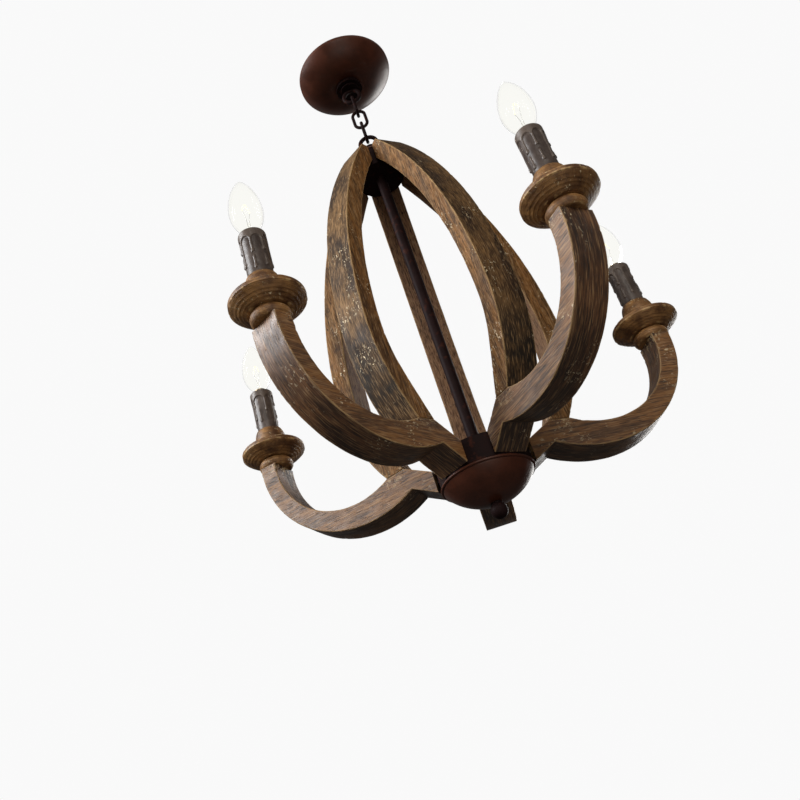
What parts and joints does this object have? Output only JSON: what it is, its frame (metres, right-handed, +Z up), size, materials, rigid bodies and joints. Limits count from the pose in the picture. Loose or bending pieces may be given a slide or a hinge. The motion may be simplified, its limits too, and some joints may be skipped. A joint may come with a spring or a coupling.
{
  "type": "candle-arm orb chandelier",
  "caption": "Hanging chandelier: wooden candle arms curve up round an open wooden orb on a central metal rod, with candle sleeves, drip pans, flame bulbs, a chain and a ceiling canopy.",
  "frame": {"origin": "middle of the mounting strap's top face, at the ceiling", "axes": "+Z up towards the ceiling; +X along the mounting strap; one arm points along +Y"},
  "size_m": [0.5376, 0.515, 0.6929],
  "materials": {
    "arm_wood": "weathered, oiled reclaimed boards",
    "turned_wood": "weathered, turned",
    "dowel_wood": "plain",
    "sleeve": "matt, antiqued resin",
    "dark_metal": "satin dark bronze",
    "plain_steel": "zinc plated",
    "holder": "matt moulded",
    "cap_brass": "satin",
    "clear_glass": "clear, polished"
  },
  "bodies": {
    "ceiling_mount": {"mounting_strap": "plain_steel", "strap_nut": "plain_steel", "canopy_loop": "dark_metal"},
    "canopy": {"canopy": "dark_metal"},
    "ring_nut": {"ring_nut": "dark_metal"},
    "chain_link_1": {"chain_link_1": "dark_metal"},
    "chain_link_2": {"chain_link_2": "dark_metal"},
    "chain_link_3": {"chain_link_3": "dark_metal"},
    "lamp": {"candle_arm_a": "arm_wood", "rib_a": "arm_wood", "arm_collar_a": "turned_wood", "bobeche_a": "turned_wood", "candle_sleeve_a": "sleeve", "lamp_holder_a": "holder", "candle_arm_b": "arm_wood", "rib_b": "arm_wood", "arm_collar_b": "turned_wood", "bobeche_b": "turned_wood", "candle_sleeve_b": "sleeve", "lamp_holder_b": "holder", "candle_arm_c": "arm_wood", "rib_c": "arm_wood", "arm_collar_c": "turned_wood", "bobeche_c": "turned_wood", "candle_sleeve_c": "sleeve", "lamp_holder_c": "holder", "candle_arm_d": "arm_wood", "rib_d": "arm_wood", "arm_collar_d": "turned_wood", "bobeche_d": "turned_wood", "candle_sleeve_d": "sleeve", "lamp_holder_d": "holder", "candle_arm_e": "arm_wood", "rib_e": "arm_wood", "arm_collar_e": "turned_wood", "bobeche_e": "turned_wood", "candle_sleeve_e": "sleeve", "lamp_holder_e": "holder", "hub_drum": "dark_metal", "top_drum": "dark_metal", "top_cap": "dark_metal", "centre_rod": "dark_metal", "tie_rod": "plain_steel", "rod_nuts": "plain_steel", "hub_screws": "plain_steel", "rib_dowels": "dowel_wood", "candle_nipples": "plain_steel", "top_loop": "dark_metal"},
    "hub_cap": {"hub_cap": "dark_metal"},
    "finial": {"finial": "dark_metal"},
    "bulb_a": {"bulb_base_a": "cap_brass", "bulb_glass_a": "clear_glass"},
    "bulb_b": {"bulb_base_b": "cap_brass", "bulb_glass_b": "clear_glass"},
    "bulb_c": {"bulb_base_c": "cap_brass", "bulb_glass_c": "clear_glass"},
    "bulb_d": {"bulb_base_d": "cap_brass", "bulb_glass_d": "clear_glass"},
    "bulb_e": {"bulb_base_e": "cap_brass", "bulb_glass_e": "clear_glass"}
  },
  "joints": [
    {"name": "canopy_drop", "type": "slide", "parent": "ceiling_mount", "child": "canopy", "axis": [0, 0, -1], "range_m": [0, 0.004]},
    {"name": "ring_nut_turn", "type": "hinge", "parent": "canopy", "child": "ring_nut", "pos_m": [0, 0, -0.0291], "axis": [0, 0, -1], "range_deg": [0, 1441]},
    {"name": "link_1_swing", "type": "hinge", "parent": "ceiling_mount", "child": "chain_link_1", "pos_m": [0, 0, -0.056], "axis": [1, 0, 0], "range_deg": [-18, 18]},
    {"name": "link_2_swing", "type": "hinge", "parent": "chain_link_1", "child": "chain_link_2", "pos_m": [0, 0, -0.0816], "axis": [0, 1, 0], "range_deg": [-18, 18]},
    {"name": "link_3_swing", "type": "hinge", "parent": "chain_link_2", "child": "chain_link_3", "pos_m": [0, 0, -0.1077], "axis": [1, 0, 0], "range_deg": [-18, 18]},
    {"name": "lamp_swing", "type": "hinge", "parent": "chain_link_3", "child": "lamp", "pos_m": [0, 0, -0.1338], "axis": [0, 1, 0], "range_deg": [-18, 18]},
    {"name": "hub_cap_drop", "type": "slide", "parent": "lamp", "child": "hub_cap", "axis": [0, 0, -1], "range_m": [0, 0.00564]},
    {"name": "finial_turn", "type": "hinge", "parent": "hub_cap", "child": "finial", "pos_m": [0, 0, -0.68405], "axis": [0, 0, -1], "range_deg": [0, 2161]},
    {"name": "bulb_a_lift", "type": "slide", "parent": "lamp", "child": "bulb_a", "axis": [0, 0, 1], "range_m": [0, 0.05]},
    {"name": "bulb_b_lift", "type": "slide", "parent": "lamp", "child": "bulb_b", "axis": [0, 0, 1], "range_m": [0, 0.05]},
    {"name": "bulb_c_lift", "type": "slide", "parent": "lamp", "child": "bulb_c", "axis": [0, 0, 1], "range_m": [0, 0.05]},
    {"name": "bulb_d_lift", "type": "slide", "parent": "lamp", "child": "bulb_d", "axis": [0, 0, 1], "range_m": [0, 0.05]},
    {"name": "bulb_e_lift", "type": "slide", "parent": "lamp", "child": "bulb_e", "axis": [0, 0, 1], "range_m": [0, 0.05]}
  ],
  "couplings": [
    {"joint": "ring_nut_turn", "follows": "canopy_drop", "rad_per_m": 6283.2},
    {"joint": "finial_turn", "follows": "hub_cap_drop", "rad_per_m": 6684.2}
  ]
}
